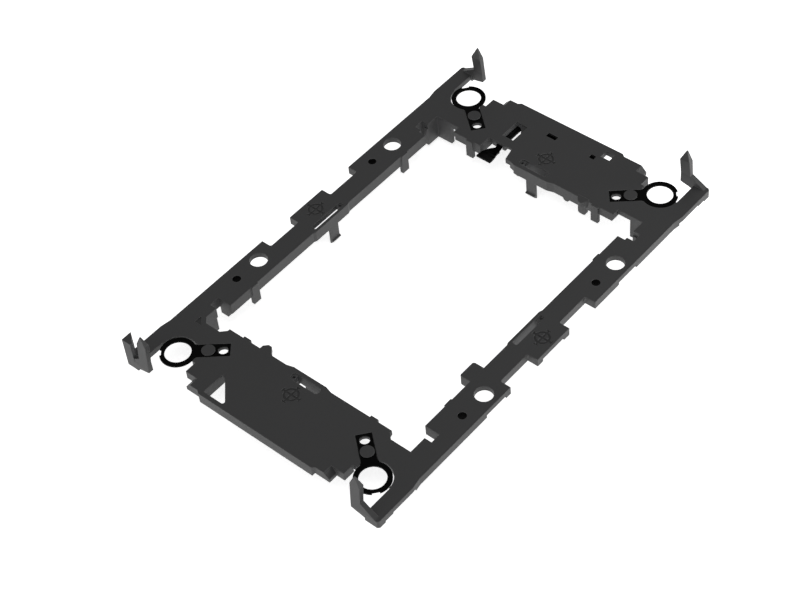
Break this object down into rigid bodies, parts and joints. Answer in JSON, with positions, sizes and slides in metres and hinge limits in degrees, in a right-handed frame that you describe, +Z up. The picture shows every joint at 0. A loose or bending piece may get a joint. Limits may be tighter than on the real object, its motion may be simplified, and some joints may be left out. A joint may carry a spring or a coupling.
{
  "type": "cpu socket retention frame",
  "caption": "Open rectangular moulded carrier that clips a server processor to its heat sink, with sprung corner rings and a small release lever.",
  "frame": {"origin": "bottom centre of the whole part, level with the tips of the package hooks", "axes": "+X across the frame, +Y along it towards the lever, +Z up towards the heat sink"},
  "size_m": [0.0738, 0.1182, 0.0174],
  "materials": {
    "frame_plastic": "fine matte mould texture",
    "lever_plastic": "smooth satin",
    "clip_steel": "black satin coating on thin spring steel"
  },
  "bodies": {
    "carrier": {"carrier_frame": "frame_plastic", "ring_clip_upper_left": "clip_steel", "ring_clip_upper_right": "clip_steel", "ring_clip_lower_left": "clip_steel", "ring_clip_lower_right": "clip_steel"},
    "lever": {"release_lever": "lever_plastic"}
  },
  "joints": [
    {"name": "lever_pivot", "type": "hinge", "parent": "carrier", "child": "lever", "pos_m": [-0.01345, 0.048, 0.0053], "axis": [0, 1, 0], "range_deg": [0, 90]}
  ]
}
